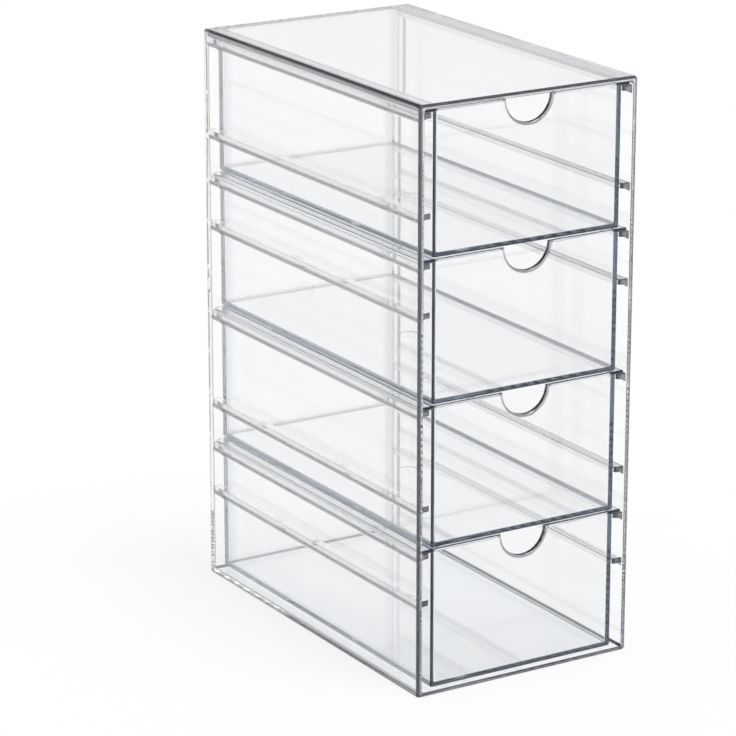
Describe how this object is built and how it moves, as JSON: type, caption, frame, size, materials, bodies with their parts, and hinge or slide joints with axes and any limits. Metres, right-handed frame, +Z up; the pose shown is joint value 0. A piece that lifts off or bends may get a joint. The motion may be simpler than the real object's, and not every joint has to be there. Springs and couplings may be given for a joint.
{
  "type": "clear drawer organizer",
  "caption": "Tall clear plastic casing with an open front, moulded side runners and hanging trays that slide out, each with a half-round finger notch.",
  "frame": {"origin": "middle of the casing's underside", "axes": "+Z up; -Y is the front, where the drawers pull out; +X to the right of someone facing it"},
  "size_m": [0.105, 0.175, 0.25],
  "materials": {
    "clear_casing": "clear, glossy, moulded",
    "clear_drawer": "clear, glossy, moulded, faintly cool in the edges"
  },
  "bodies": {
    "casing": {"casing": "clear_casing"},
    "drawer_1": {"drawer_1": "clear_drawer"},
    "drawer_2": {"drawer_2": "clear_drawer"},
    "drawer_3": {"drawer_3": "clear_drawer"},
    "drawer_4": {"drawer_4": "clear_drawer"}
  },
  "joints": [
    {"name": "drawer_1_slide", "type": "slide", "parent": "casing", "child": "drawer_1", "axis": [0, -1, 0], "range_m": [0, 0.15]},
    {"name": "drawer_2_slide", "type": "slide", "parent": "casing", "child": "drawer_2", "axis": [0, -1, 0], "range_m": [0, 0.15]},
    {"name": "drawer_3_slide", "type": "slide", "parent": "casing", "child": "drawer_3", "axis": [0, -1, 0], "range_m": [0, 0.15]},
    {"name": "drawer_4_slide", "type": "slide", "parent": "casing", "child": "drawer_4", "axis": [0, -1, 0], "range_m": [0, 0.15]}
  ]
}
